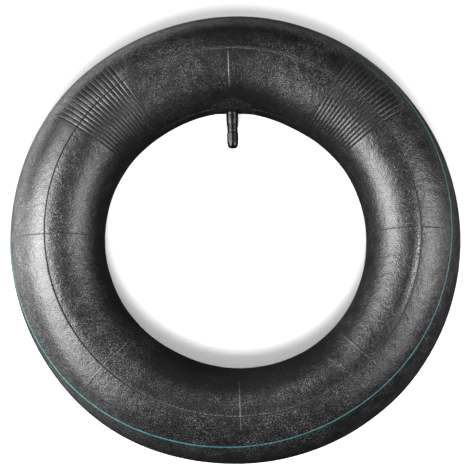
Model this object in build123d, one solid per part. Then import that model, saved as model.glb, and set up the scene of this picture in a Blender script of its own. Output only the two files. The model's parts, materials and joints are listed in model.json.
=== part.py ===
from build123d import *
from build123d.topology import SkipClean
import os

# An inner tube for a small wheel, size 4.80/4.00-8, lying flat on its side.
# Row frame: origin at the ring's centre, +Z along the wheel's axis, millimetres.
# The valve stands on the inner wall at +Y and points at the ring's centre, along -Y.

CUT_SPARE = 1.0             # how far a cutting body runs past what it cuts

# ---- the rubber ring ----
RING_RADIUS = 150.0         # wheel axis to the middle of the tube's section
SECTION_RADIUS = 40.0       # outside radius of the section, lightly inflated
WALL = 2.0
HOLE_RADIUS = RING_RADIUS - SECTION_RADIUS

# ---- the coloured line, laid in the outer side of the upper face ----
STRIPE_HEIGHT = 19.2        # its plane's height over the mid-plane, at the wheel's axis
STRIPE_TILT = 3.9           # the plane climbs by this angle, in degrees
STRIPE_HEADING = 305.0      # towards this bearing, in degrees from +X
STRIPE_WIDTH = 1.25
STRIPE_DEPTH = 0.5
STRIPE_GAP = 0.02           # left all round it, in its groove

# ---- the valve; lengths along it are measured from the ring's inner wall ----
AIR_HOLE_RADIUS = 2.0
PAD_RADIUS = 22.0
PAD_THICKNESS = 1.3
CEMENT = 0.05               # film of cement between the pad and the wall
FLARE_RADIUS = 7.8
FLARE_TOP = 3.0
FLARE_HOLLOW = 0.55         # how far its concave side dips
FLARE_LAP = 0.2             # its edge ends this far below the pad's face
STEM_RADIUS = 5.15          # straight stretch that passes through the rim's hole
STEM_STRAIGHT_TOP = 9.0
STEM_TOP_RADIUS = 4.7
STEM_TOP = 14.3
NECK_RADIUS = 4.45
NECK_TOP = 20.0
NECK_BEVEL = (0.25, 0.3)    # radius and length taken off the neck's end
STEM_BEVEL = (0.15, 0.3)
SHOULDER = 0.5              # length of the slope from the stem down to the neck

# brass insert
FOOT_RADIUS = 6.5
FOOT_BOTTOM = 0.7
FOOT_TOP = 1.5
FOOT_COVER = 0.3            # rubber under the foot
BARREL_RADIUS = 3.2
BARB_RADIUS = 3.6
BARB_LENGTH = 1.2
BARB_PLACES = (5.0, 8.5, 12.0)
BARB_SINK = 0.1
TIP = 31.0
TIP_CHAMFER = 0.6
BORE_RADIUS = 1.8           # air passage below the core
SEAT_RADIUS = 2.25          # chamber that the core's barrel hangs in
SEAT_BOTTOM = 21.9
SEAT_TOP = 22.6
CHAMBER_TOP = 24.4
CHAMBER_CONE = 0.3          # length of the slope from the chamber out to the thread

# threads: outside one for the cap (8V1), inside one for the core (5V1)
CAP_PITCH = 0.794
CAP_THREAD_RADIUS = 3.87
CAP_THREAD_DEPTH = 0.487
CAP_THREAD_START = 20.7
CAP_THREAD_RUNOUT = 0.5     # turns left off before the tip
CORE_PITCH = 0.7056
CORE_THREAD_START = 25.2
CORE_THREAD_RADIUS = 2.60
CORE_THREAD_DEPTH = 0.40
CORE_THREAD_TURNS = 7.5
PLUG_THREAD_TURNS = 4
INNER_PHASE = 1.5           # pitches from the start of a thread to that of the one on it
THREAD_PLAY = 0.12          # radial clearance at crest and root
CREST_SHARE = 0.125         # crest width over pitch
THREAD_SINK = 0.06          # how far a ridge is let into the wall it grows from
FLANK_SLOPE = 0.57735       # half-width lost per unit of depth on a 60 degree thread

# core: threaded plug, barrel hung from it, pin with its spring, cup and washer
CORE_GAP = 0.02
PLUG_BOTTOM = 25.6
PLUG_TOP = 30.5
PLUG_BORE_RADIUS = 1.25
PLUG_LIP_TOP = 26.0         # the lip that the barrel's collar hangs on
COLLAR_PLAY = 0.15          # left round the collar, and above the lip
COLLAR_ROOM = 0.3           # extra height of its chamber in the plug
LUG_SPACING = 2.1
LUG_HEIGHT = 1.1
COLLAR_RADIUS = 1.65
COLLAR_NECK_RADIUS = 1.25
COLLAR_HEIGHT = 0.65
BARREL_HEAD_RADIUS = 1.95
BARREL_FOOT_RADIUS = 1.45
BARREL_STEP = 22.9
BARREL_SHOULDER = 0.4       # from the barrel's head up to the plug
BARREL_SLOPE = 0.2
CHAMBER_RADIUS = 1.15
CHAMBER_ROOF = 0.6          # its top lies this far below the plug
SPRING_WEB = 0.6            # floor of the spring's chamber
PASSAGE_RADIUS = 0.75       # hole round the pin
PIN_RADIUS = 0.4
PIN_TOP = 30.6
PIN_HEAD_RADIUS = 0.9
PIN_HEAD = 0.4
PIN_BOTTOM = 16.4
SPRING_BOTTOM = 20.4
SPRING_TOP = 24.3
SPRING_TURNS = 7
SPRING_RADIUS = 0.88
SPRING_WIRE = 0.1
BARREL_RIM = 18.8           # the barrel's lower edge, which the washer closes
RIM_RADIUS = 1.2
RIM_BORE_RADIUS = 0.95
RIM_CHAMFER = 0.6
BODY_SEAL_LIFT = 0.25       # the seal's lower edge over the seat's
BODY_SEAL_GAP = 0.01
WASHER = 0.9
WASHER_RADIUS = 1.33
CUP_RADIUS = 1.5
CUP_BORE_RADIUS = 1.34
CUP_NOSE_RADIUS = 0.7
CUP_NOSE = 0.2              # the nose stands this far over the pin's end
CUP_SIDE = 0.4              # straight side below the cup's floor
CUP_LIP = 0.7               # depth that holds the washer
SPRING_SEAT = 0.4
SPRING_SEAT_RADIUS = 1.0

# cap
CAP_MOUTH = 20.2
CAP_CORNER_RADIUS = 5.12
CAP_FLATS = 9.6
CAP_TURN = 24.5             # how the hexagon stands at rest, in degrees from the local x axis
CAP_CHAMFER_RADIUS = 4.6
CAP_MOUTH_CHAMFER = 0.75
CAP_GRIP_CHAMFER = 0.5
CAP_GRIP_TOP = 29.6
CAP_TOP = 33.5
CAP_TOP_RADIUS = 1.9        # flat end of the dome
CAP_BROW = (0.55, 2.5)      # a point on the dome's line: in from the grip's edge, and up
CAP_CEILING = 32.3
CAP_BORE_RADIUS = CAP_THREAD_RADIUS + THREAD_PLAY
CAP_BORE_TOP = 30.85
CAP_THREAD_TURNS = 8
SEAL_THICKNESS = 0.9
SEAL_HOLE_RADIUS = 2.6
SEAL_RADIUS = 3.5
SEAL_PLAY = 0.08            # round the seal's edge in the cap

# local frame of the valve: z runs out along the stem, from the ring's inner wall
VALVE = Plane(origin=(0, HOLE_RADIUS, 0), x_dir=(1, 0, 0), z_dir=(0, -1, 0))


def spun(outline):
    """A solid of revolution about the local z axis, from a closed (radius, height) line."""
    return revolve(Plane.XZ * make_face(outline), Axis.Z)


def turned(*profile):
    """A solid of revolution with straight sides, from its (radius, height) corners."""
    return spun(Polyline(*profile, close=True))


def cylinder(radius, bottom, top):
    """A cylinder on the local z axis between two heights."""
    return Pos(0, 0, bottom) * Cylinder(
        radius, top - bottom, align=(Align.CENTER, Align.CENTER, Align.MIN)
    )


def ridge(base_radius, crest_radius, pitch, bottom, turns):
    """A right-handed screw ridge that stands on base_radius and ends at crest_radius."""
    crest_half = CREST_SHARE * pitch / 2
    outward = 1 if crest_radius > base_radius else -1
    sunk = base_radius - outward * THREAD_SINK
    base_half = crest_half + FLANK_SLOPE * abs(crest_radius - sunk)
    section = make_face(
        Polyline(
            (sunk, 0, bottom - base_half),
            (crest_radius, 0, bottom - crest_half),
            (crest_radius, 0, bottom + crest_half),
            (sunk, 0, bottom + base_half),
            close=True,
        )
    )
    path = Helix(pitch, turns * pitch, sunk, center=(0, 0, bottom))
    return sweep(section, path, is_frenet=True)


def half_shell(inner, outer):
    """The space between two sections of the ring, over the half with the valve."""
    section = Pos(RING_RADIUS, 0) * (Circle(outer) - Circle(inner))
    return revolve(Plane.XZ * section, Axis.Z, 180)


def stripe_band(inner, outer, width):
    """A band of the ring's shell, cut out by a thin tilted slab outside the crown."""
    size = 3 * RING_RADIUS
    shell = Torus(RING_RADIUS, outer) - Torus(RING_RADIUS, inner)
    tilted = Pos(0, 0, STRIPE_HEIGHT) * Rot(0, 0, STRIPE_HEADING - 90) * Rot(STRIPE_TILT, 0, 0)
    return (shell & (tilted * Box(size, size, width))) - Cylinder(RING_RADIUS, size)


def tube_body():
    """The hollow ring, punched for the valve and grooved for the coloured line."""
    groove = stripe_band(
        SECTION_RADIUS - STRIPE_DEPTH - STRIPE_GAP,
        SECTION_RADIUS + CUT_SPARE,
        STRIPE_WIDTH + 2 * STRIPE_GAP,
    )
    punch = VALVE.location * cylinder(AIR_HOLE_RADIUS, -2 * WALL, WALL)
    half = half_shell(SECTION_RADIUS - WALL, SECTION_RADIUS)
    with SkipClean():
        return (half - punch) + Rot(0, 0, 180) * half - groove


def colour_stripe():
    return stripe_band(SECTION_RADIUS - STRIPE_DEPTH, SECTION_RADIUS, STRIPE_WIDTH)


def insert_outside(margin=0.0):
    """The brass insert as a solid without its bore; the rubber is moulded round it."""
    body = turned(
        (0, FOOT_BOTTOM),
        (FOOT_RADIUS, FOOT_BOTTOM),
        (FOOT_RADIUS, FOOT_TOP),
        (BARREL_RADIUS, FOOT_TOP),
        (BARREL_RADIUS, NECK_TOP + margin),
        (0, NECK_TOP + margin),
    )
    for place in BARB_PLACES:
        body += turned(
            (BARREL_RADIUS - BARB_SINK, place),
            (BARB_RADIUS, place),
            (BARREL_RADIUS, place + BARB_LENGTH),
            (BARREL_RADIUS - BARB_SINK, place + BARB_LENGTH),
        )
    return body


def valve_stem_rubber():
    """The moulded rubber stem and the pad that is vulcanised to the tube's inner wall."""
    disc = VALVE.location * cylinder(PAD_RADIUS, -PAD_RADIUS / 2, PAD_RADIUS / 2)
    pad = half_shell(SECTION_RADIUS + CEMENT, SECTION_RADIUS + PAD_THICKNESS) & disc
    skirt = PAD_THICKNESS - FLARE_LAP
    bottom = FOOT_BOTTOM - FOOT_COVER
    outline = SagittaArc((STEM_RADIUS, FLARE_TOP), (FLARE_RADIUS, skirt), FLARE_HOLLOW) + Polyline(
        (FLARE_RADIUS, skirt),
        (FLARE_RADIUS, bottom),
        (0, bottom),
        (0, NECK_TOP),
        (NECK_RADIUS - NECK_BEVEL[0], NECK_TOP),
        (NECK_RADIUS, NECK_TOP - NECK_BEVEL[1]),
        (NECK_RADIUS, STEM_TOP + SHOULDER),
        (STEM_TOP_RADIUS - STEM_BEVEL[0], STEM_TOP),
        (STEM_TOP_RADIUS, STEM_TOP - STEM_BEVEL[1]),
        (STEM_RADIUS, STEM_STRAIGHT_TOP),
        (STEM_RADIUS, FLARE_TOP),
    )
    solid = pad + VALVE.location * spun(outline)
    hollow = insert_outside(CUT_SPARE) + cylinder(AIR_HOLE_RADIUS, -WALL, FOOT_TOP)
    return solid - VALVE.location * hollow


def valve_insert():
    """The brass barrel: foot, barbs, cap thread outside, core thread and seat inside."""
    root = CAP_THREAD_RADIUS - CAP_THREAD_DEPTH
    turns = (TIP - CAP_THREAD_START) / CAP_PITCH - CAP_THREAD_RUNOUT
    threaded = cylinder(root, NECK_TOP, TIP)
    threaded += ridge(root, CAP_THREAD_RADIUS, CAP_PITCH, CAP_THREAD_START, turns)
    lead = turned(
        (0, NECK_TOP),
        (CAP_THREAD_RADIUS + THREAD_PLAY, NECK_TOP),
        (CAP_THREAD_RADIUS + THREAD_PLAY, TIP - TIP_CHAMFER),
        (root - THREAD_PLAY, TIP),
        (0, TIP),
    )
    crest = CORE_THREAD_RADIUS - CORE_THREAD_DEPTH + THREAD_PLAY
    wall = CORE_THREAD_RADIUS + THREAD_PLAY
    bore = turned(
        (0, 0),
        (BORE_RADIUS, 0),
        (BORE_RADIUS, SEAT_BOTTOM),
        (SEAT_RADIUS, SEAT_TOP),
        (SEAT_RADIUS, CHAMBER_TOP),
        (wall, CHAMBER_TOP + CHAMBER_CONE),
        (wall, TIP + CUT_SPARE),
        (0, TIP + CUT_SPARE),
    )
    inside = ridge(wall, crest, CORE_PITCH, CORE_THREAD_START, CORE_THREAD_TURNS)
    return insert_outside() + (threaded & lead) - bore + inside


def core_plug():
    """The threaded plug that holds the core down; its two lugs take the valve key."""
    root = CORE_THREAD_RADIUS - CORE_THREAD_DEPTH
    body = cylinder(root, PLUG_BOTTOM, PLUG_TOP)
    start = CORE_THREAD_START + INNER_PHASE * CORE_PITCH
    body += ridge(root, CORE_THREAD_RADIUS, CORE_PITCH, start, PLUG_THREAD_TURNS)
    collar_room = PLUG_LIP_TOP + COLLAR_HEIGHT + COLLAR_ROOM
    body -= cylinder(PLUG_BORE_RADIUS, PLUG_BOTTOM, PLUG_TOP)
    body -= cylinder(COLLAR_RADIUS + COLLAR_PLAY, PLUG_LIP_TOP, collar_room)
    body -= cylinder(COLLAR_NECK_RADIUS + COLLAR_PLAY, PLUG_BOTTOM, PLUG_LIP_TOP)
    slot = Pos(0, 0, PLUG_TOP) * Box(2 * root + CUT_SPARE, LUG_SPACING, 2 * LUG_HEIGHT)
    return body - slot


def core_body():
    """The core's barrel: collar inside the plug, spring chamber, rim at the bottom."""
    collar_bottom = PLUG_LIP_TOP + COLLAR_PLAY
    collar_top = collar_bottom + COLLAR_HEIGHT
    outside = turned(
        (0, BARREL_RIM),
        (RIM_RADIUS, BARREL_RIM),
        (BARREL_FOOT_RADIUS, BARREL_RIM + RIM_CHAMFER),
        (BARREL_FOOT_RADIUS, BARREL_STEP),
        (BARREL_HEAD_RADIUS, BARREL_STEP),
        (BARREL_HEAD_RADIUS, PLUG_BOTTOM - BARREL_SHOULDER),
        (COLLAR_NECK_RADIUS, PLUG_BOTTOM - BARREL_SHOULDER + BARREL_SLOPE),
        (COLLAR_NECK_RADIUS, collar_bottom),
        (COLLAR_RADIUS, collar_bottom),
        (COLLAR_RADIUS, collar_top),
        (0, collar_top),
    )
    chamber = cylinder(CHAMBER_RADIUS, SPRING_BOTTOM, PLUG_BOTTOM - CHAMBER_ROOF)
    passage = cylinder(PASSAGE_RADIUS, SPRING_BOTTOM - SPRING_WEB, collar_top)
    mouth = cylinder(RIM_BORE_RADIUS, BARREL_RIM, SPRING_BOTTOM - SPRING_WEB)
    return outside - chamber - passage - mouth


def core_body_seal():
    """The ring on the barrel that closes against the conical seat."""
    cone = (SEAT_RADIUS - BORE_RADIUS) / (SEAT_TOP - SEAT_BOTTOM)
    low = SEAT_BOTTOM + BODY_SEAL_LIFT
    high = BARREL_STEP - CORE_GAP
    inner = BARREL_FOOT_RADIUS + BODY_SEAL_GAP
    outer = SEAT_RADIUS - 2 * CORE_GAP
    return turned(
        (inner, low),
        (outer - cone * (SEAT_TOP - low), low),
        (outer, SEAT_TOP),
        (outer, high),
        (inner, high),
    )


def core_pin():
    """The pin: a round head to press, and a long shaft down to the cup."""
    return cylinder(PIN_HEAD_RADIUS, PIN_TOP - PIN_HEAD, PIN_TOP) + cylinder(
        PIN_RADIUS, PIN_BOTTOM, PIN_TOP
    )


def core_spring():
    """The coil spring that pushes the pin outwards."""
    height = SPRING_TOP - SPRING_BOTTOM - 2 * SPRING_WIRE - 2 * CORE_GAP
    start = SPRING_BOTTOM + SPRING_WIRE + CORE_GAP
    path = Helix(height / SPRING_TURNS, height, SPRING_RADIUS, center=(0, 0, start))
    wire = Plane(origin=path @ 0, z_dir=path % 0) * Circle(SPRING_WIRE)
    return sweep(wire, path, is_frenet=True)


def core_spring_seat():
    """The collar on the pin that the spring pushes on."""
    top = SPRING_TOP + SPRING_SEAT
    collar = cylinder(SPRING_SEAT_RADIUS, SPRING_TOP, top)
    return collar - cylinder(PIN_RADIUS, SPRING_TOP, top)


def core_seat_washer():
    """The rubber washer that closes the barrel's rim."""
    top = BARREL_RIM - CORE_GAP
    disc = cylinder(WASHER_RADIUS, top - WASHER, top)
    return disc - cylinder(PIN_RADIUS, top - WASHER, top)


def core_seat_cup():
    """The brass cup on the pin's end that carries the washer."""
    floor = BARREL_RIM - CORE_GAP - WASHER
    nose = PIN_BOTTOM + CUP_NOSE
    cup = turned(
        (0, nose),
        (CUP_NOSE_RADIUS, nose),
        (CUP_RADIUS, floor - CUP_SIDE),
        (CUP_RADIUS, floor + CUP_LIP),
        (0, floor + CUP_LIP),
    )
    cup -= cylinder(CUP_BORE_RADIUS, floor, floor + CUP_LIP)
    return cup - cylinder(PIN_RADIUS, PIN_BOTTOM, floor)


def valve_cap():
    """The moulded cap: six flats with scalloped ends, a domed top and its own thread."""
    crest = CAP_THREAD_RADIUS - CAP_THREAD_DEPTH + THREAD_PLAY
    envelope = turned(
        (0, CAP_MOUTH),
        (CAP_CHAMFER_RADIUS, CAP_MOUTH),
        (CAP_CORNER_RADIUS, CAP_MOUTH + CAP_MOUTH_CHAMFER),
        (CAP_CORNER_RADIUS, CAP_GRIP_TOP - CAP_GRIP_CHAMFER),
        (CAP_CHAMFER_RADIUS, CAP_GRIP_TOP),
        (0, CAP_GRIP_TOP),
    )
    hexagon = Rot(0, 0, CAP_TURN) * RegularPolygon(CAP_FLATS / 2, 6, major_radius=False)
    flats = Pos(0, 0, CAP_MOUTH) * extrude(hexagon, CAP_TOP - CAP_MOUTH)
    shoulder = (CAP_CHAMFER_RADIUS, CAP_GRIP_TOP)
    brow = (CAP_CHAMFER_RADIUS - CAP_BROW[0], CAP_GRIP_TOP + CAP_BROW[1])
    crown = (CAP_TOP_RADIUS, CAP_TOP)
    dome_line = ThreePointArc(shoulder, brow, crown) + Polyline(
        crown,
        (0, CAP_TOP),
        (0, CAP_GRIP_TOP - CAP_GRIP_CHAMFER),
        (CAP_CHAMFER_RADIUS, CAP_GRIP_TOP - CAP_GRIP_CHAMFER),
        shoulder,
    )
    hollow = cylinder(CAP_BORE_RADIUS, CAP_MOUTH - CUT_SPARE, CAP_BORE_TOP)
    hollow += cylinder(SEAL_RADIUS + SEAL_PLAY, CAP_MOUTH, TIP + SEAL_THICKNESS + 2 * CORE_GAP)
    hollow += cylinder(SEAL_HOLE_RADIUS, CAP_MOUTH, CAP_CEILING)
    thread_start = CAP_THREAD_START + INNER_PHASE * CAP_PITCH
    screw = ridge(CAP_BORE_RADIUS, crest, CAP_PITCH, thread_start, CAP_THREAD_TURNS)
    return (envelope & flats) + spun(dome_line) - hollow + screw


def cap_seal():
    """The rubber ring inside the cap that closes on the brass tip."""
    bottom = TIP + CORE_GAP
    return cylinder(SEAL_RADIUS, bottom, bottom + SEAL_THICKNESS) - cylinder(
        SEAL_HOLE_RADIUS, bottom, bottom + SEAL_THICKNESS
    )


ON_RING = (tube_body, colour_stripe, valve_stem_rubber)
ON_VALVE = (
    valve_insert,
    core_plug,
    core_body,
    core_body_seal,
    core_pin,
    core_spring,
    core_spring_seat,
    core_seat_washer,
    core_seat_cup,
    valve_cap,
    cap_seal,
)

os.makedirs("parts", exist_ok=True)
for piece in ON_RING:
    export_step(piece(), f"parts/{piece.__name__}.step")
for piece in ON_VALVE:
    export_step(VALVE.location * piece(), f"parts/{piece.__name__}.step")
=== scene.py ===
import json
import math

import bmesh
import bpy
import numpy as np
from mathutils import Matrix, Vector


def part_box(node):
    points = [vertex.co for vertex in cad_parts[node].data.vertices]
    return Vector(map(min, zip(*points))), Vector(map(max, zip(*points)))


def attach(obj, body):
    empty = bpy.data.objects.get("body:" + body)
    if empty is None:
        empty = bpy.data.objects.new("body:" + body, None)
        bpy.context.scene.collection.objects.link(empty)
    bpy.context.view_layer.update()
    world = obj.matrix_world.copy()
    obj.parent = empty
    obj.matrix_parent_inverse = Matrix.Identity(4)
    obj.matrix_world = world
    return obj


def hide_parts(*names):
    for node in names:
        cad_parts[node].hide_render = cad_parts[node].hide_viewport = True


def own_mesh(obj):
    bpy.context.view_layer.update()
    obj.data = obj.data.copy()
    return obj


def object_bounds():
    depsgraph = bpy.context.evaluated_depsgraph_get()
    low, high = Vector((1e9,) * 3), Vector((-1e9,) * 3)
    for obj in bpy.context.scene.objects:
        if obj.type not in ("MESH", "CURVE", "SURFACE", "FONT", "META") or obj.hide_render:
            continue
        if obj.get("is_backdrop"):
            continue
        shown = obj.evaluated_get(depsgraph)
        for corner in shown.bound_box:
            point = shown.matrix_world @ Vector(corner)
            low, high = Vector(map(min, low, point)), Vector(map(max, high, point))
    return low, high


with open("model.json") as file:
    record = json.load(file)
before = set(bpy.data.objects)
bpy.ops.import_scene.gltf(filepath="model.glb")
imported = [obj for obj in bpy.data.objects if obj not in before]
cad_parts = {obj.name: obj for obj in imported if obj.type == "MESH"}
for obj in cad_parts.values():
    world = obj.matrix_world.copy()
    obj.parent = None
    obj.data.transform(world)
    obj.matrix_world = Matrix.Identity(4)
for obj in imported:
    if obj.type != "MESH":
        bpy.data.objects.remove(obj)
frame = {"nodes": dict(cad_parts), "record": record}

MM = 0.001
WELD = 1e-8                       # points closer than this are one point, in metres
TURN = 2 * math.pi
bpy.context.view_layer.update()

# ---------------------------------------------------------------- the ring's own sizes
ring_low, ring_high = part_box("tube_body")
SECTION = (ring_high.z - ring_low.z) / 2          # radius of the rubber's section
RING = (ring_high.x - ring_low.x) / 2 - SECTION   # wheel axis to the middle of the section

# Lines moulded in the ring. Angles round the section are counted from the outside,
# over the top; angles round the ring are counted from +X. All are in degrees.
SEAM = 84.5
INNER_LINE = 158.5
INNER_SWAY = 9.0
INNER_SWAY_HEADING = 95.0

# The soft ring isn't regular. Each swell is a place round the ring, a width and a size.
# The seam and the coloured line shift by degrees over the section:
SEAM_SWELLS = ((35.0, 45.0, 2.0), (150.0, 50.0, -3.0), (255.0, 35.0, 1.0))
STRIPE_SWELLS = ((50.0, 35.0, 4.0), (115.0, 45.0, 2.0), (245.0, 30.0, 3.0), (325.0, 20.0, -1.5))
# The outer and the inner wall stand out by mm:
OUTER_SWELLS = ((75.0, 35.0, 1.3), (140.0, 20.0, 1.3), (235.0, 20.0, 1.8), (315.0, 35.0, 1.2))
INNER_SWELLS = ((62.0, 24.0, 3.5), (120.0, 25.0, 2.0), (240.0, 20.0, 1.0), (312.0, 42.0, -3.5))

# radial lines: place round the ring, and where over the section they start and end
LINES = ((-0.75, 56.0, 138.0), (90.65, 88.0, 134.0), (180.15, 50.0, 138.0),
         (225.55, 40.0, 128.0), (270.9, 68.0, 136.0), (314.75, 54.0, 142.0))
# the ones that hold no shine, with painted shade darkening their colour
SHADE_PAINTED_LINES = LINES[:1] + LINES[2:3] + LINES[4:]
# the stretches of them that talc shows up
LINE_TALC = (
    (90.65, 90.0, 132.0),
    (225.55, 40.0, 84.0),
    (270.9, 70.0, 102.0),
    (314.75, 103.0, 140.0),
)
LINE_WIDTH = 0.12
# patches of radial grooves: middle, pitch, and where over the section their shine is lost and their
# painted shade begins
RIB_PATCHES = ((44.6, 1.41, 48.0), (135.35, 1.40, 86.0))
RIB_COUNT = 15
RIB_WIDTH = 0.16
RIB_START = (46.0, 60.0)          # they deepen over the first stretch and fade over the second
RIB_END = (140.0, 152.0)

# How far these stand off the round section, or sink into it, in mm.
UNEVENNESS = 0.10
CREASE = 0.5
CREASE_REACH = 36.0               # to each side of the seam, in degrees
SEAM_RIDGE = 0.08
SEAM_DEPTH = 0.9
MOULD_LINE = 0.20                 # beside the valve
HOLLOW = 0.60                     # along the seam, opposite the valve
LINE_HEIGHT = 0.20
RIB_DEPTH = 0.65

# ---------------------------------------------------------------- small helpers


def bell(x, width):
    """A smooth bump, 1 at x = 0."""
    return np.exp(-((x / width) ** 2))


def ease(x, start, end):
    """0 before start, 1 after end, smooth between."""
    t = np.clip((x - start) / (end - start), 0, 1)
    return t * t * (3 - 2 * t)


def turn_gap(a, b):
    """Signed smallest difference a - b in degrees."""
    return (a - b + 180.0) % 360.0 - 180.0


def knots(step, marks, offsets, low=0.0, high=360.0):
    """Regular places every step, with finer ones at given offsets from each mark."""
    fine = sorted({round((m + o) % 360.0, 5) for m in marks for o in offsets})
    reach = max(abs(o) for o in offsets)
    plain = [
        a
        for a in np.arange(low, high, step)
        if all(abs(turn_gap(a, m)) > reach + 0.4 * step for m in marks)
    ]
    return np.array(sorted(plain + fine))


def smooth_mesh(name, grid, wrap_rows=True, caps=()):
    """A mesh from a grid of points [row, column, xyz]; columns always close on themselves.
    caps lists the rows, 0 or -1, that are closed with a fan to their middle."""
    rows, columns = grid.shape[:2]
    points = grid.reshape(-1, 3)
    index = np.arange(rows * columns).reshape(rows, columns)
    last = rows if wrap_rows else rows - 1
    a = index[np.arange(last)]
    b = index[(np.arange(last) + 1) % rows]
    quads = np.stack([a, b, np.roll(b, -1, axis=1), np.roll(a, -1, axis=1)], axis=-1).reshape(-1, 4)
    faces = quads.tolist()
    for row in caps:
        ring = index[row]
        points = np.vstack([points, points[ring].mean(axis=0)])
        middle = len(points) - 1
        for k in range(columns):
            here, after = int(ring[k]), int(ring[(k + 1) % columns])
            faces.append((middle, here, after) if row == 0 else (middle, after, here))
    mesh = bpy.data.meshes.new(name)
    mesh.from_pydata(points.tolist(), [], faces)
    mesh.validate()
    mesh.polygons.foreach_set("use_smooth", [True] * len(mesh.polygons))
    mesh.update()
    piece = bpy.data.objects.new(name, mesh)
    bpy.context.scene.collection.objects.link(piece)
    return piece


def paint(piece, name, values):
    """Store one number per point of a piece; the material reads it by name."""
    layer = piece.data.attributes.new(name, "FLOAT", "POINT")
    layer.data.foreach_set("value", np.asarray(values, dtype=np.float32).ravel())


def finish_piece(piece, body, material, slot, *nodes):
    piece.data.materials.append(material)
    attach(piece, body)
    if nodes:
        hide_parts(*nodes)
    return piece


# ---------------------------------------------------------------- materials


class Shader:
    """A material under construction: its principled shader and the nodes that feed it."""

    def __init__(self, name, roughness=0.5, metallic=0.0, ior=1.5):
        self.material = bpy.data.materials.new(name)
        self.material.use_nodes = True
        self.tree = self.material.node_tree
        self.surface = self.tree.nodes["Principled BSDF"]
        self.surface.inputs["Roughness"].default_value = roughness
        self.surface.inputs["Metallic"].default_value = metallic
        self.surface.inputs["IOR"].default_value = ior
        self.place = self.node("ShaderNodeTexCoord").outputs["Object"]

    def node(self, kind, **values):
        made = self.tree.nodes.new(kind)
        for key, value in values.items():
            if key in made.inputs:
                made.inputs[key].default_value = value
            else:
                setattr(made, key, value)
        return made

    def link(self, source, target):
        self.tree.links.new(source, target)

    def stretched(self, scale):
        """The place vector, scaled differently along each axis."""
        mapping = self.node("ShaderNodeMapping")
        mapping.inputs["Scale"].default_value = scale
        self.link(self.place, mapping.inputs["Vector"])
        return mapping.outputs["Vector"]

    def noise(self, scale, detail=2.0, rough=0.5, low=0.35, high=0.65, vector=None):
        """Noise of so many cells per metre, spread to run from 0 at low to 1 at high."""
        noise = self.node("ShaderNodeTexNoise")
        noise.inputs["Scale"].default_value = scale
        noise.inputs["Detail"].default_value = detail
        noise.inputs["Roughness"].default_value = rough
        self.link(vector or self.place, noise.inputs["Vector"])
        spread = self.node("ShaderNodeMapRange")
        spread.inputs["From Min"].default_value = low
        spread.inputs["From Max"].default_value = high
        self.link(noise.outputs["Fac"], spread.inputs["Value"])
        return spread.outputs["Result"]

    def blend(self, factor, first, second):
        """A colour that goes from first to second; each is a colour or a socket."""
        mix = self.node("ShaderNodeMix", data_type="RGBA")
        if isinstance(factor, float):
            mix.inputs[0].default_value = factor
        else:
            self.link(factor, mix.inputs[0])
        for socket, value in ((mix.inputs[6], first), (mix.inputs[7], second)):
            if isinstance(value, tuple):
                socket.default_value = (*value, 1.0)
            else:
                self.link(value, socket)
        return mix.outputs[2]

    def scaled(self, socket, low, high):
        """A 0 to 1 value spread from low to high."""
        spread = self.node("ShaderNodeMapRange")
        spread.inputs["To Min"].default_value = low
        spread.inputs["To Max"].default_value = high
        self.link(socket, spread.inputs["Value"])
        return spread.outputs["Result"]

    def times(self, first, second):
        product = self.node("ShaderNodeMath", operation="MULTIPLY")
        self.link(first, product.inputs[0])
        self.link(second, product.inputs[1])
        return product.outputs[0]

    def plus(self, first, second):
        total = self.node("ShaderNodeMath", operation="ADD", use_clamp=True)
        self.link(first, total.inputs[0])
        self.link(second, total.inputs[1])
        return total.outputs[0]

    def attribute(self, name):
        found = self.node("ShaderNodeAttribute", attribute_name=name)
        return found.outputs["Fac"]

    def colour(self, socket):
        self.link(socket, self.surface.inputs["Base Color"])

    def roughness(self, socket):
        self.link(socket, self.surface.inputs["Roughness"])

    def bumps(self, *layers):
        """Bump from (height socket, depth in metres) layers, one on top of the other."""
        normal = None
        for height, depth in layers:
            bump = self.node("ShaderNodeBump")
            bump.inputs["Distance"].default_value = depth
            bump.inputs["Strength"].default_value = 1.0
            self.link(height, bump.inputs["Height"])
            if normal:
                self.link(normal, bump.inputs["Normal"])
            normal = bump.outputs["Normal"]
        self.link(normal, self.surface.inputs["Normal"])


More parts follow.
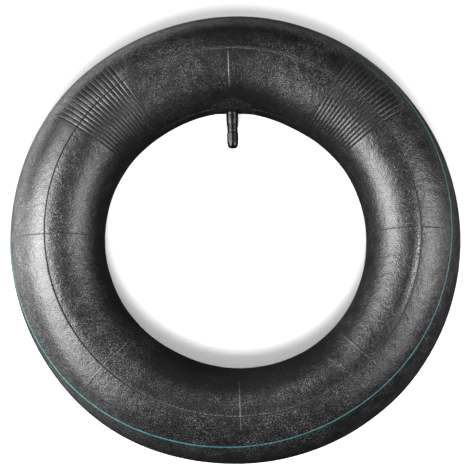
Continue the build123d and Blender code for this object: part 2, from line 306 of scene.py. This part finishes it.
def tube_rubber():
    """Black butyl with a bloom of talc: dark, satin, finely speckled; its colour also holds painted
    shade, painted highlight and painted light.
    """
    s = Shader("tube_rubber", roughness=0.45)
    cloud = s.noise(22, detail=3, rough=0.55, low=0.30, high=0.70)
    speck = s.noise(1150, detail=3, rough=0.8, low=0.52, high=0.68)
    speck = s.times(speck, s.scaled(s.noise(16, detail=2, low=0.35, high=0.65), 0.3, 1.0))
    # painted shade: the talc speckle is thinned out here, mostly on the inner slope
    speck = s.times(speck, s.scaled(s.attribute("speck_shade"), 1.0, 0.0))
    patch = s.noise(95, detail=4, rough=0.6, low=0.30, high=0.75)
    clean = s.blend(cloud, (0.003, 0.003, 0.0032), (0.007, 0.007, 0.0073))
    dusty = s.blend(patch, (0.04, 0.04, 0.041), (0.34, 0.34, 0.345))
    # painted shade: the colour is darkened in the seam's crease, along the darker radial lines and
    # in the rib grooves
    dark = s.attribute("groove")
    rubber = s.blend(dark, s.blend(speck, clean, dusty), (0.003, 0.003, 0.003))
    crumbs = s.noise(1000, detail=2, rough=0.7, low=0.44, high=0.62)
    # the talc attribute is partly painted highlight and painted light, drawn as pale grey
    s.colour(s.blend(s.times(s.attribute("talc"), crumbs), rubber, (0.50, 0.50, 0.50)))
    rough = s.scaled(speck, 0.31, 0.42)
    s.roughness(s.plus(rough, s.scaled(dark, 0.0, 0.55)))
    grain = s.noise(900, detail=2, rough=0.6, low=0.2, high=0.8)
    leather = s.noise(230, detail=3, rough=0.6, low=0.2, high=0.8)
    dents = s.noise(90, detail=2, rough=0.5, low=0.2, high=0.8)
    s.bumps((dents, 0.3 * MM), (leather, 0.2 * MM), (grain, 0.15 * MM))
    return s.material


def stripe_rubber():
    """The coloured line, matt and a little broken up by talc."""
    s = Shader("stripe_rubber", roughness=0.55)
    tone = s.noise(260, detail=3, rough=0.7, low=0.3, high=0.7)
    wear = s.noise(900, detail=2, rough=0.6, low=0.55, high=0.75)
    teal = s.blend(tone, (0.013, 0.090, 0.093), (0.045, 0.205, 0.210))
    s.colour(s.blend(s.scaled(wear, 0.0, 0.6), teal, (0.20, 0.29, 0.28)))
    s.bumps((wear, 0.05 * MM))
    return s.material


def stem_rubber():
    """Moulded rubber of the stem, black and smooth, dusty on its pad."""
    s = Shader("stem_rubber", roughness=0.3)
    s.surface.inputs["Specular IOR Level"].default_value = 0.35
    cloud = s.noise(240, detail=3, rough=0.6)
    clean = s.blend(cloud, (0.002, 0.002, 0.0022), (0.006, 0.006, 0.0063))
    speck = s.noise(750, detail=3, rough=0.75, low=0.46, high=0.75)
    s.colour(s.blend(s.times(s.attribute("talc"), speck), clean, (0.05, 0.05, 0.051)))
    s.roughness(s.scaled(cloud, 0.25, 0.36))
    s.bumps((s.noise(900, detail=2), 0.02 * MM))
    return s.material


def cap_plastic():
    """Moulded black plastic with faint flow marks."""
    s = Shader("cap_plastic", roughness=0.2)
    s.surface.inputs["Specular IOR Level"].default_value = 0.30
    flow = s.noise(300, detail=3, rough=0.5, vector=s.stretched((1.0, 0.25, 1.0)))
    s.colour(s.blend(flow, (0.002, 0.002, 0.0023), (0.006, 0.006, 0.0065)))
    s.roughness(s.scaled(flow, 0.17, 0.26))
    s.bumps((s.noise(1500, detail=2), 0.012 * MM))
    return s.material


def turned_metal(name, dark, bright, roughness):
    """Metal turned about the valve's axis, with fine tool marks round it."""
    s = Shader(name, roughness=roughness, metallic=1.0)
    marks = s.noise(500, detail=2, vector=s.stretched((0.2, 14.0, 0.2)))
    stain = s.noise(600, detail=3, rough=0.6)
    s.colour(s.blend(stain, dark, bright))
    s.roughness(s.scaled(marks, roughness * 0.75, roughness * 1.3))
    s.bumps((marks, 0.008 * MM))
    return s.material


def sealing_rubber(name, dark, bright):
    """Plain moulded sealing rubber."""
    s = Shader(name, roughness=0.5)
    grain = s.noise(1800, detail=3, rough=0.6)
    s.colour(s.blend(grain, dark, bright))
    s.roughness(s.scaled(grain, 0.42, 0.6))
    s.bumps((grain, 0.01 * MM))
    return s.material


# ---------------------------------------------------------------- the rubber ring


def swells(around, places):
    """Sum of smooth swells round the ring, each a place, a width and a size."""
    return sum(size * bell(turn_gap(around, place), width) for place, width, size in places)


def over_section(nominal):
    """Angle over the section, counted the same way on the underside as on the top."""
    return np.abs(turn_gap(nominal, 0.0))


def line_reach(over, start, end):
    """1 along a radial line, easing off at its ends."""
    return ease(over, start - 2, start + 3) * (1 - ease(over, end - 4, end + 2))


def rib_marks():
    """(place round the ring, where over the section the shine is lost and painted shade begins) of
    every groove.
    """
    first = -(RIB_COUNT - 1) / 2
    return [
        (middle + (first + k) * pitch, shade_from)
        for middle, pitch, shade_from in RIB_PATCHES
        for k in range(RIB_COUNT)
    ]


def swayed(around, nominal):
    """Angle round the section of a nominal row; rows near a moulded line sway with it."""
    out = nominal.copy()
    seam_sway = swells(around, SEAM_SWELLS)
    inner_sway = INNER_SWAY * np.cos(np.radians(around - INNER_SWAY_HEADING))
    for side in (1, -1):
        out += side * seam_sway * bell(turn_gap(nominal, side * SEAM), 25.0)
        out += side * inner_sway * bell(turn_gap(nominal, side * INNER_LINE), 14.0)
    return out


def waves(around, over, seed=5, count=26):
    """Slow unevenness of soft rubber, in millimetres."""
    draw = np.random.default_rng(seed)
    total = np.zeros_like(around)
    for _ in range(count):
        n, m = draw.integers(2, 24), draw.integers(0, 7)
        size = draw.uniform(0.3, 1.0) / (1 + 0.12 * n + 0.25 * m)
        phases = draw.uniform(0, TURN, 2)
        total += size * np.cos(np.radians(n * around) + phases[0]) * np.cos(
            np.radians(m * over) + phases[1]
        )
    return UNEVENNESS * total


def lift(around, nominal):
    """How far the surface stands off a plain round section, in millimetres."""
    over = over_section(nominal)
    up = waves(around, nominal)
    up += swells(around, OUTER_SWELLS) * (0.5 + 0.5 * np.cos(np.radians(over))) ** 2
    up += swells(around, INNER_SWELLS) * (0.5 - 0.5 * np.cos(np.radians(over))) ** 2
    from_seam = over - SEAM
    left = bell(turn_gap(around, 185.0), 50.0)
    crease = np.clip(1 - np.abs(from_seam - 6.0 * left) / CREASE_REACH, 0, 1) ** 2
    up += CREASE * crease
    wobble = 0.75 + 0.25 * np.cos(np.radians(5 * around + 40))
    ridge = SEAM_RIDGE * bell(from_seam - 0.85, 0.45)
    up += wobble * (ridge - SEAM_DEPTH * bell(from_seam + 0.1, 0.5))
    up += MOULD_LINE * bell(turn_gap(around, 98.0), 32.0) * bell(over - INNER_LINE, 0.6)
    up -= HOLLOW * bell(turn_gap(around, 270.0), 45.0) * bell(over - 92.0, 5.0)
    for mark, start, end in LINES:
        along = line_reach(over, start, end)
        up += LINE_HEIGHT * along * bell(turn_gap(around, mark), LINE_WIDTH)
    for mark, _ in rib_marks():
        along = ease(over, *RIB_START) * (1 - ease(over, *RIB_END))
        up -= RIB_DEPTH * along * bell(turn_gap(around, mark), RIB_WIDTH)
    return up


def talc(around, nominal):
    """Where talc has gathered along the moulded lines, more on some stretches than others; the
    paler seam at the top, bottom and right is partly painted highlight, and the paler outer rim
    partly painted light.
    """
    over = over_section(nominal)
    # partly painted highlight: the seam is paler at the top and the bottom
    top = 0.5 * bell(turn_gap(around, 80.0), 32.0)
    foot = 0.5 * bell(turn_gap(around, 270.0), 35.0)
    # partly painted highlight: a broken pale band just inside the seam on the right
    right = 0.9 * bell(turn_gap(around, 348.0), 14.0)
    talc_and_painted_light = 0.8 * (top + foot) * bell(over - SEAM - 1.2, 0.3)
    talc_and_painted_light = np.maximum(talc_and_painted_light, right * bell(over - SEAM - 3.0, 2.6))
    # partly painted light: the outer side is made paler where little lamp light falls, most at the
    # top left
    rim = 0.36 * bell(turn_gap(around, 125.0), 95.0)
    talc_and_painted_light = np.maximum(talc_and_painted_light, rim * (1 - ease(over, 36.0, 58.0)))
    talc_and_painted_light = np.maximum(talc_and_painted_light, 0.3 * bell(turn_gap(around, 46.0), 8.0) * bell(over - 44.5, 3.0))
    beside_valve = 0.4 * bell(turn_gap(around, 98.0), 20.0)
    beside_valve *= 1 - bell(turn_gap(around, 90.0), 6.0)
    talc_and_painted_light = np.maximum(talc_and_painted_light, beside_valve * bell(over - INNER_LINE, 0.8))
    for mark, start, end in LINE_TALC:
        line = line_reach(over, start, end) * bell(turn_gap(around, mark), LINE_WIDTH)
        talc_and_painted_light = np.maximum(talc_and_painted_light, 0.12 * line)
    return np.clip(talc_and_painted_light, 0, 1)


def groove(around, nominal):
    """Painted shade: where the surface is creased sharply it holds no shine and its colour is
    darkened.
    """
    over = over_section(nominal)
    dark = np.clip(1.4 * bell(over - SEAM + 0.1, 0.6), 0, 1)
    for mark, start, end in SHADE_PAINTED_LINES:
        line = line_reach(over, start, end) * bell(turn_gap(around, mark), LINE_WIDTH)
        dark = np.maximum(dark, 0.5 * line)
    for mark, shade_from in rib_marks():
        along = ease(over, shade_from, shade_from + 14.0) * (1 - ease(over, *RIB_END))
        across = np.clip(1.3 * bell(turn_gap(around, mark), RIB_WIDTH), 0, 1)
        dark = np.maximum(dark, along * across)
    return dark


def speck_shade(around, nominal):
    """Painted shade: where the talc speckle is thinned out, mostly on the inner slope, least on the
    right.
    """
    over = over_section(nominal)
    foot = ease(-np.abs(turn_gap(around, 272.0)), -62.0, -30.0)
    # how much of the speckle is taken away as painted shade
    clean = 0.9 * foot * np.maximum(ease(over, 106.0, 120.0), 0.7 * bell(over - 91.0, 5.0))
    left = 0.7 * bell(turn_gap(around, 190.0), 60.0)
    top = 0.9 * bell(turn_gap(around, 80.0), 45.0)
    right = 0.5 * bell(turn_gap(around, -5.0), 60.0)
    clean = np.maximum(clean, np.maximum(left, top) * ease(over, 118.0, 138.0))
    clean = np.maximum(clean, right * ease(over, 100.0, 125.0))
    outside_top = 0.6 * bell(turn_gap(around, 95.0), 28.0)
    return np.maximum(clean, outside_top * bell(over - 62.0, 14.0))


def on_ring(around, over, up):
    """Points at an angle round the ring, an angle round the section and a lift in mm."""
    a, v = np.radians(around), np.radians(over)
    radius = SECTION + up * MM
    out = RING + radius * np.cos(v)
    return np.stack([out * np.cos(a), out * np.sin(a), radius * np.sin(v)], axis=-1)


def build_tube():
    fine = (-0.4, -0.25, -0.16, -0.1, -0.05, 0.0, 0.05, 0.1, 0.16, 0.25, 0.4)
    plain = knots(1.5, [mark for mark, *_ in LINES], fine)
    half = RIB_COUNT / 2 + 0.4
    outside = [
        a
        for a in plain
        if all(abs(turn_gap(a, middle)) > half * pitch for middle, pitch, _ in RIB_PATCHES)
    ]
    ribs = [(mark + o) % 360.0 for mark, _ in rib_marks() for o in fine]
    around = np.array(sorted(outside + ribs))
    seam_rows = (-2.2, -1.4, -0.9, -0.55, -0.3, -0.1, 0.1, 0.35, 0.6, 0.85, 1.1, 1.6, 2.4)
    lines = [side * line for line in (SEAM, INNER_LINE) for side in (1, -1)]
    over = knots(3.0, lines, seam_rows)
    nominal, turn = np.meshgrid(over, around, indexing="ij")
    grid = on_ring(turn, swayed(turn, nominal), lift(turn, nominal))
    piece = smooth_mesh("tube_ring", grid[::-1])
    paint(piece, "talc", talc(turn, nominal)[::-1])
    paint(piece, "groove", groove(turn, nominal)[::-1])
    paint(piece, "speck_shade", speck_shade(turn, nominal)[::-1])
    return finish_piece(piece, "tube", tube_rubber(), "tube_rubber", "tube_body")


# ---------------------------------------------------------------- the coloured line


def stripe_plane():
    """The plane z = h + a x + b y that the coloured line lies in, from the CAD piece."""
    points = np.array([v.co for v in frame["nodes"]["colour_stripe"].data.vertices])
    columns = np.column_stack([np.ones(len(points)), points[:, 0], points[:, 1]])
    return np.linalg.lstsq(columns, points[:, 2], rcond=None)[0]


def build_stripe():
    height, slope_x, slope_y = stripe_plane()
    around = np.arange(0.0, 360.0, 0.5)
    a = np.radians(around)
    over = np.full_like(a, math.radians(30.0))
    for _ in range(40):
        out = RING + SECTION * np.cos(over)
        level = height + slope_x * out * np.cos(a) + slope_y * out * np.sin(a)
        over = 0.5 * over + 0.5 * np.arcsin(np.clip(level / SECTION, -1, 1))
    centre = np.degrees(over) + swells(around, STRIPE_SWELLS)
    # across the line: (place in mm, lift in mm), from one buried edge over the top to the other
    profile = ((-0.60, -0.4), (-0.62, 0.0), (-0.54, 0.10), (-0.3, 0.14), (0.0, 0.16),
               (0.3, 0.14), (0.54, 0.10), (0.62, 0.0), (0.60, -0.4))
    draw = np.random.default_rng(11)
    ragged = np.convolve(draw.normal(0, 1, len(around)), np.ones(3) / 3, mode="same")
    width = 1 + 0.10 * ragged
    rows = []
    for across, up in profile:
        angle = centre + np.degrees(across * width * MM / SECTION)
        rows.append(on_ring(around, angle, lift(around, angle) + up))
    piece = smooth_mesh("stripe_line", np.array(rows)[::-1])
    return finish_piece(piece, "tube", stripe_rubber(), "stripe_rubber", "colour_stripe")


# ---------------------------------------------------------------- the valve

VALVE_ROOT = RING - SECTION       # distance of the inner wall from the wheel's axis
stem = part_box("valve_stem_rubber")
cap_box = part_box("valve_cap")
STEM_MOUNT = next(m for m in frame["record"]["mounts"] if m["name"] == "valve_stem")
STEM_RADIUS = STEM_MOUNT["dims"]["r_mm"]
PAD_RADIUS = (stem[1].x - stem[0].x) / 2 / MM
NECK_TOP = (VALVE_ROOT - stem[0].y) / MM
CAP_MOUTH = (VALVE_ROOT - cap_box[1].y) / MM
CAP_TOP = (VALVE_ROOT - cap_box[0].y) / MM

# The stem's own sizes in mm: radii, and heights over the wall.
STEM_BORE = 3.3
PAD_THICKNESS = 1.1
PAD_THINS_FROM = 5.0
FLARE = 8.0                       # radius where the flare meets the pad
FLARE_RISE = 2.1

# The cap's sizes in mm, the same as in the CAD: radii, and heights s along the stem.
CAP_FLAT = 4.8
CAP_CORNER = 5.12
CAP_CHAMFER = 4.6
CAP_TURN = 24.5                   # how the hexagon stands at rest, in degrees
GRIP_TOP = 29.6
CAP_PITCH = 0.794
CAP_BORE = 3.99
CAP_CREST = 3.503
CAP_THREAD_START = 21.89
CAP_THREAD_TURNS = 8.0


def valve_point(x, y, s):
    """Valve coordinates in mm, with s out along the stem from the wall, to the row frame."""
    return np.stack([x * MM, VALVE_ROOT - s * MM, y * MM], axis=-1)


def wall(x, y, up):
    """Height s of the ring's inner wall, lifted by up, over the valve's root, in mm."""
    around = 90.0 - np.degrees(x * MM / VALVE_ROOT)
    radius = SECTION / MM + up + lift(around, 180.0 - np.degrees(y * MM / SECTION))
    out = RING / MM - np.sqrt(radius**2 - y**2)
    return VALVE_ROOT / MM - np.sqrt(out**2 - x**2)


def build_stem():
    """Rubber stem and its pad, one moulding, from the neck's top down to the pad's edge."""
    angle = np.radians(np.arange(0.0, 360.0, 3.0))
    side = [(STEM_BORE, 1.0), (STEM_BORE, NECK_TOP - 0.3), (STEM_BORE + 0.25, NECK_TOP - 0.05)]
    side += [(3.9, NECK_TOP)]
    side += [(4.2, NECK_TOP - 0.06), (4.38, NECK_TOP - 0.25), (4.45, NECK_TOP - 0.6)]
    side += [(4.45, 17.2), (4.4, 15.4), (4.42, 14.95), (4.58, 14.7), (4.74, 14.62), (4.84, 14.45)]
    side += [(4.86, 14.2), (4.8, 13.95), (4.76, 13.5), (4.9, 12.0), (5.05, 10.0), (5.14, 8.0)]
    side += [(STEM_RADIUS, 6.0), (STEM_RADIUS, 3.6), (5.2, 3.15)]
    rows = []
    for radius, s in side:
        rows.append(valve_point(radius * np.cos(angle), radius * np.sin(angle), s + 0 * angle))
    # the root: a flared collar, then the pad, which thins to a feather edge on the wall
    reach = [5.5, 5.75, 6.1, 6.5, 6.9, 7.3, 7.7, 8.2, 9.0, 10.0, 12.0, 14.0, 16.0, 18.0, 20.0, 21.2]
    flare_width = FLARE - STEM_RADIUS
    for radius in reach:
        x, y = radius * np.cos(angle), radius * np.sin(angle)
        pad = wall(x, y, PAD_THICKNESS * (1 - ease(radius, PAD_THINS_FROM, PAD_RADIUS)))
        flare = 1.0 + FLARE_RISE * (max(0.0, FLARE - radius) / flare_width) ** 1.5
        rows.append(valve_point(x, y, np.maximum(pad, flare) if radius < FLARE else pad))
    for radius, depth in ((PAD_RADIUS, -0.25), (15.0, -0.9), (6.0, -0.9)):
        x, y = radius * np.cos(angle), radius * np.sin(angle)
        rows.append(valve_point(x, y, wall(x, y, depth)))
    grid = np.array(rows)
    piece = smooth_mesh("stem_rubber_moulding", grid)
    from_axis = np.hypot(grid[..., 0], grid[..., 2]) / MM
    paint(piece, "talc", ease(from_axis, 6.0, 10.0))
    return finish_piece(piece, "tube", stem_rubber(), "stem_rubber", "valve_stem_rubber")


def build_cap():
    """The screw cap: rounded hexagon with scalloped ends, domed top, thread inside."""
    angle = np.radians(np.arange(0.0, 360.0, 2.5))
    # angle from the middle of the nearest flat, which is 30 degrees past a corner
    half_flat = math.pi / 6
    from_flat = (angle - math.radians(CAP_TURN + 30.0) + half_flat) % (2 * half_flat) - half_flat
    hexagon = CAP_FLAT / np.cos(from_flat)
    rows = []

    def ring(radius, s):
        radius = radius + 0 * angle
        rows.append(valve_point(radius * np.cos(angle), radius * np.sin(angle), s + 0 * angle))

    def grip(limit, s):
        blunt = (hexagon ** -40.0 + limit ** -40.0) ** (-1 / 40.0)
        ring(blunt, s)

    # inside, from the ceiling down: the pocket over the tip, the seal's seat, the thread
    for radius, height in ((0.6, 32.3), (1.8, 32.3), (2.5, 32.3), (2.6, 32.2), (2.6, 31.96),
                           (3.56, 31.94), (3.58, 30.9), (CAP_BORE, 30.85)):
        ring(radius, height)
    for s in np.arange(30.6, CAP_MOUTH + 0.35, -CAP_PITCH / 10):
        place = (s - CAP_THREAD_START) / CAP_PITCH - angle / TURN
        beside = np.abs(place - np.round(place)) * CAP_PITCH
        tooth = np.clip((0.34 - beside) / 0.28, 0, 1)
        tooth = tooth * ((place > -0.4) & (place < CAP_THREAD_TURNS + 0.4))
        ring(CAP_BORE - (CAP_BORE - CAP_CREST) * tooth, s)
    ring(CAP_BORE, CAP_MOUTH + 0.3)
    ring(CAP_BORE + 0.2, CAP_MOUTH + 0.05)
    ring(CAP_BORE + 0.35, CAP_MOUTH)
    # outside, from the mouth up: the grip with its two chamfers, then the dome
    for limit, s in ((CAP_CHAMFER - 0.12, 0.0), (CAP_CHAMFER, 0.05), (4.72, 0.18), (4.86, 0.36),
                     (4.98, 0.52), (5.07, 0.7), (CAP_CORNER, 0.9), (CAP_CORNER, 1.4)):
        grip(limit, CAP_MOUTH + s)
    for s in np.linspace(CAP_MOUTH + 2.2, GRIP_TOP - 1.9, 5):
        grip(CAP_CORNER, s)
    for limit, s in ((CAP_CORNER, -1.2), (CAP_CORNER, -0.75), (5.07, -0.55), (4.97, -0.38),
                     (4.84, -0.2), (4.7, -0.08), (4.58, 0.02), (4.55, 0.25)):
        grip(limit, GRIP_TOP + s)
    dome_foot = GRIP_TOP + 0.3
    for t in np.radians(np.linspace(8.0, 82.0, 12)):
        ring(1.9 + 2.65 * np.cos(t) ** 0.8, dome_foot + (CAP_TOP - dome_foot) * np.sin(t))
    ring(1.7, CAP_TOP)
    ring(0.8, CAP_TOP)
    piece = smooth_mesh("screw_cap", np.array(rows)[::-1], wrap_rows=False, caps=(0, -1))
    return finish_piece(piece, "cap", cap_plastic(), "cap_plastic", "valve_cap")


def build_spring(material):
    """The spring round the pin, a welded copy of the CAD piece; the real one shortens towards its
    fixed end as the pin goes in.
    """
    piece = bpy.data.objects.new("pin_spring", frame["nodes"]["core_spring"].data.copy())
    bpy.context.scene.collection.objects.link(piece)
    welded = bmesh.new()
    welded.from_mesh(piece.data)
    bmesh.ops.remove_doubles(welded, verts=welded.verts, dist=WELD)
    welded.to_mesh(piece.data)
    welded.free()
    piece.data.materials.clear()
    finish_piece(piece, "core", material, "pin_steel", "core_spring")
    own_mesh(piece)


def dress_cad_nodes():
    """Materials for the working parts in the valve, which keep their CAD shapes.
    Returns the steel, which the spring has too."""
    brass = turned_metal("brass", (0.52, 0.36, 0.14), (0.68, 0.50, 0.22), 0.28)
    steel = turned_metal("pin_steel", (0.42, 0.42, 0.43), (0.62, 0.62, 0.62), 0.25)
    black = sealing_rubber("washer_rubber", (0.008, 0.008, 0.008), (0.03, 0.03, 0.03))
    red = sealing_rubber("core_seal", (0.22, 0.02, 0.012), (0.32, 0.04, 0.025))
    dress = {
        brass: ("valve_insert", "core_plug", "core_body", "core_spring_seat", "core_seat_cup"),
        steel: ("core_pin",),
        black: ("core_seat_washer", "cap_seal"),
        red: ("core_body_seal",),
    }
    for material, names in dress.items():
        for name in names:
            node = frame["nodes"][name]
            node.data.materials.clear()
            node.data.materials.append(material)
    return steel


# ---------------------------------------------------------------- floor, light, camera

# name, heading and elevation in degrees, distance and size in metres, power in watts
RING_LAMPS = (
    ("left_box", 176.0, 42.0, 0.6, (0.29, 0.38), 7.5),
    ("left_low", 176.0, 8.0, 0.75, (0.30, 0.30), 1.5),
    ("left_front", 205.0, 32.0, 0.8, (0.34, 0.34), 4.5),
    ("left_back", 148.0, 32.0, 0.8, (0.34, 0.34), 2.0),
    ("right_box", 4.0, 43.0, 0.9, (0.34, 0.42), 6.0),
    ("right_low", 4.0, 12.0, 0.9, (0.34, 0.34), 1.0),
    ("right_front", -28.0, 40.0, 0.9, (0.34, 0.34), 1.5),
)
FLOOR_LAMPS = (
    ("floor_dome", 0.0, 90.0, 2.0, (5.0, 5.0), 115.0),
    ("floor_key", -92.0, 62.0, 2.2, (0.8, 0.8), 90.0),
)
WORLD_LIGHT = 0.02
FLOOR_SIZE = 6.0


def build_floor():
    """A plain pale floor that the ring just touches."""
    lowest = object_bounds()[0][2]
    bpy.ops.mesh.primitive_plane_add(size=FLOOR_SIZE, location=(0, 0, lowest))
    floor = bpy.context.object
    floor.name = "floor"
    s = Shader("floor_white", roughness=0.9)
    s.surface.inputs["Specular IOR Level"].default_value = 0.0
    s.colour(s.blend(s.noise(3.0), (0.80, 0.80, 0.80), (0.82, 0.82, 0.82)))
    floor.data.materials.append(s.material)
    floor.visible_diffuse = False
    floor.visible_glossy = False
    floor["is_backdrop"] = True
    return floor


def softbox(name, heading, elevation, distance, size, power):
    """A square lamp at a heading and an elevation, aimed at the ring's centre."""
    lamp = bpy.data.lights.new(name, "AREA")
    lamp.shape = "RECTANGLE"
    lamp.size, lamp.size_y = size
    lamp.energy = power
    holder = bpy.data.objects.new(name, lamp)
    bpy.context.scene.collection.objects.link(holder)
    h, e = math.radians(heading), math.radians(elevation)
    place = Vector((math.cos(h) * math.cos(e), math.sin(h) * math.cos(e), math.sin(e)))
    holder.location = place * distance
    holder.rotation_euler = place.to_track_quat("Z", "Y").to_euler()
    return holder


def light_scene(floor):
    """The ring's lamps leave the floor out, and the floor has two lamps of its own."""
    world = bpy.data.worlds.new("studio")
    bpy.context.scene.world = world
    world.use_nodes = True
    world.node_tree.nodes["Background"].inputs["Color"].default_value = (1, 1, 1, 1)
    world.node_tree.nodes["Background"].inputs["Strength"].default_value = WORLD_LIGHT
    no_floor = bpy.data.collections.new("no_floor")
    no_floor.objects.link(floor)
    no_floor.collection_objects[0].light_linking.link_state = "EXCLUDE"
    for lamp in [softbox(*values) for values in RING_LAMPS]:
        lamp.light_linking.receiver_collection = no_floor
    only_floor = bpy.data.collections.new("only_floor")
    only_floor.objects.link(floor)
    for lamp in [softbox(*values) for values in FLOOR_LAMPS]:
        lamp.light_linking.receiver_collection = only_floor


def place_camera():
    """Nearly straight above, leaning towards -Y, turned a little about the wheel's axis."""
    height = 8.0 * RING
    lean_x, lean_y, roll = math.radians(1.07), math.radians(-8.96), math.radians(-1.15)
    share = 0.3747              # the ring's radius over the picture's width
    turn = Matrix.Rotation(roll, 3, "Z")
    place = turn @ Vector((height * math.tan(lean_x), height * math.tan(lean_y), height))
    ahead = -place.normalized()
    right = ahead.cross(turn @ Vector((0, 1, 0))).normalized()
    up = right.cross(ahead)
    camera = bpy.data.cameras.new("camera")
    camera.lens = camera.sensor_width * share * place.length / RING
    camera.shift_x, camera.shift_y = 0.0038, 0.0095
    holder = bpy.data.objects.new("camera", camera)
    bpy.context.scene.collection.objects.link(holder)
    basis = Matrix((right, up, -ahead)).transposed().to_4x4()
    holder.matrix_world = Matrix.Translation(place) @ basis
    bpy.context.scene.camera = holder


build_tube()
build_stripe()
build_stem()
build_cap()
build_spring(dress_cad_nodes())
light_scene(build_floor())
place_camera()
bpy.context.scene.view_settings.view_transform = "Standard"
